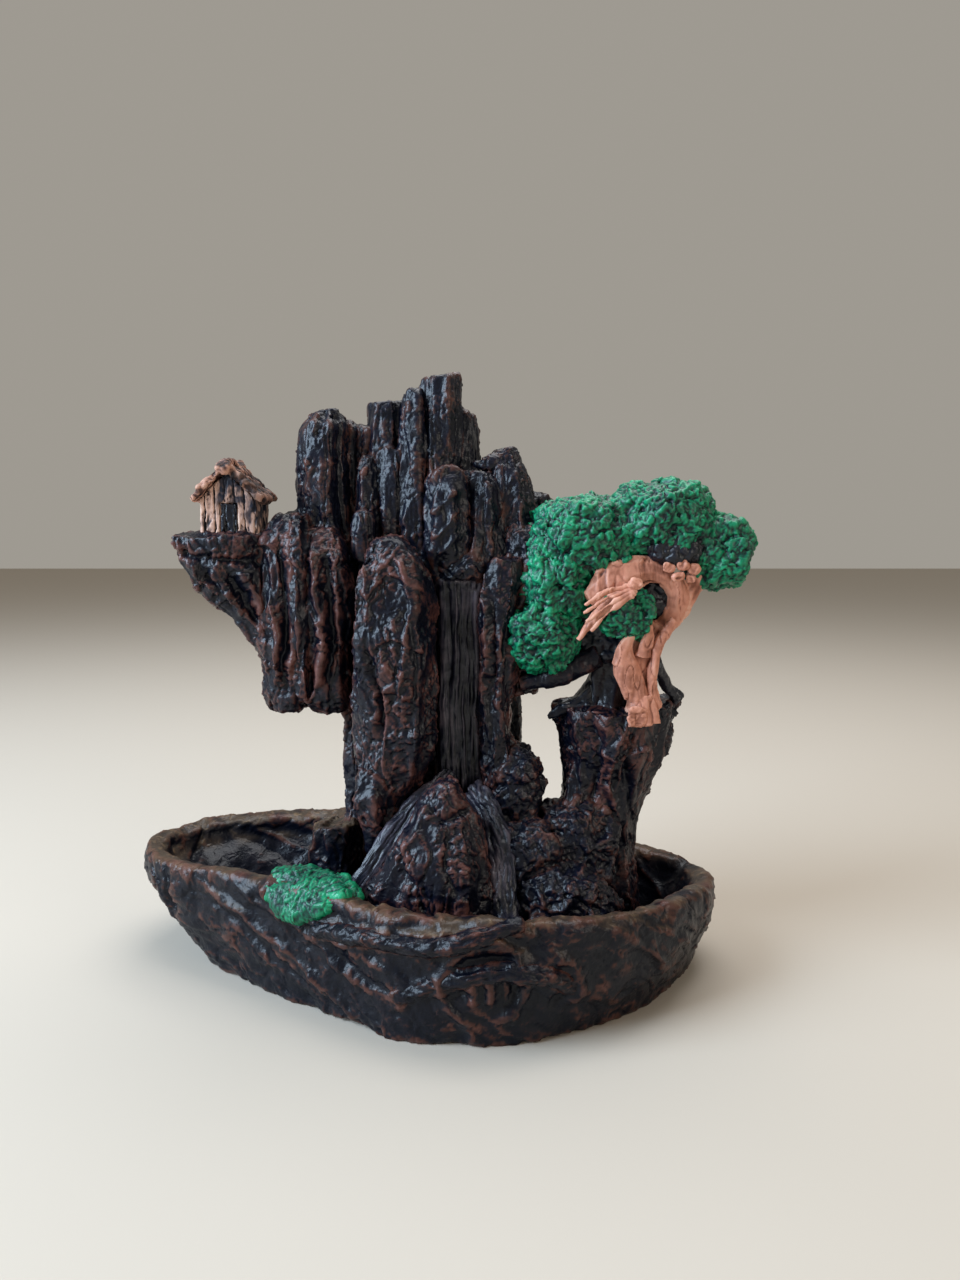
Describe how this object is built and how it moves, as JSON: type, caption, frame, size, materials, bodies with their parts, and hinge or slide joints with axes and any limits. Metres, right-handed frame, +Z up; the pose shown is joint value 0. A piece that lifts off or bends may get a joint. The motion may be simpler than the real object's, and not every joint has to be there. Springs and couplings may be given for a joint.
{
  "type": "clay landscape ornament",
  "caption": "Hand-modelled dark clay landscape: a columned cliff with a waterfall, a hut on a ledge and a small tree on a pedestal, standing in an oval pinched basin.",
  "frame": {"origin": "middle of the object's outline, on the surface it stands on", "axes": "+X to the right seen from the front, along the basin's length; front towards -Y; +Z up"},
  "size_m": [0.2258, 0.1306, 0.2123],
  "materials": {
    "dark_clay": "glossy black-brown lacquer over clay, rubbed back to reddish brown on its ridges",
    "red_clay": "glossy reddish-brown lacquer over clay",
    "black_clay": "glossy bluish-black lacquer over clay",
    "leaf": "satin bright green paint, dark in the hollows",
    "bark": "satin salmon-brown paint with dark washes",
    "plaster": "matt pinkish tan paint with dark washes",
    "thatch": "rough matt tan and salmon paint"
  },
  "bodies": {
    "root": {"basin": "dark_clay", "cliff_core": "dark_clay", "front_mound": "dark_clay", "stepping_rock": "dark_clay", "front_pillar": "dark_clay", "pillar_foot": "dark_clay", "right_buttress": "dark_clay", "right_shoulder": "dark_clay", "left_leg": "dark_clay", "hanging_ridge": "dark_clay", "hanging_rock_outer": "dark_clay", "hanging_rock_inner": "dark_clay", "hut_ledge": "dark_clay", "pedestal": "dark_clay", "pedestal_spur": "dark_clay", "waterfall_lip": "dark_clay", "boulder_upper": "dark_clay", "boulder_middle": "dark_clay", "boulder_low": "dark_clay", "boulder_saddle": "dark_clay", "crown_tall_front": "dark_clay", "crown_tall": "dark_clay", "crown_tall_left": "dark_clay", "crown_middle_low": "dark_clay", "crown_sliver": "dark_clay", "crown_middle": "dark_clay", "crown_far_left": "dark_clay", "crown_recess": "dark_clay", "crown_right": "dark_clay", "crown_hooked": "dark_clay", "crown_tall_right": "dark_clay", "crown_far_right": "dark_clay", "back_slab_left": "dark_clay", "back_slab_middle": "dark_clay", "back_slab_right": "dark_clay", "front_root_upper": "red_clay", "front_root_middle": "red_clay", "hut_door": "black_clay", "waterfall": "black_clay", "stream_left": "black_clay", "stream_right": "black_clay", "side_root": "black_clay", "root_flare": "black_clay", "canopy_core": "black_clay", "canopy_arm": "black_clay", "moss_patch": "leaf", "leaves_top": "leaf", "leaves_upper_left": "leaf", "leaves_right": "leaf", "leaves_lower_left": "leaf", "leaves_middle_left": "leaf", "leaves_centre": "leaf", "trunk": "bark", "branch_arch": "bark", "branch_right": "bark", "twig": "bark", "hut_walls": "plaster", "hut_roof_left": "thatch", "hut_roof_right": "thatch", "hut_ridge_roll": "thatch"}
  },
  "joints": []
}
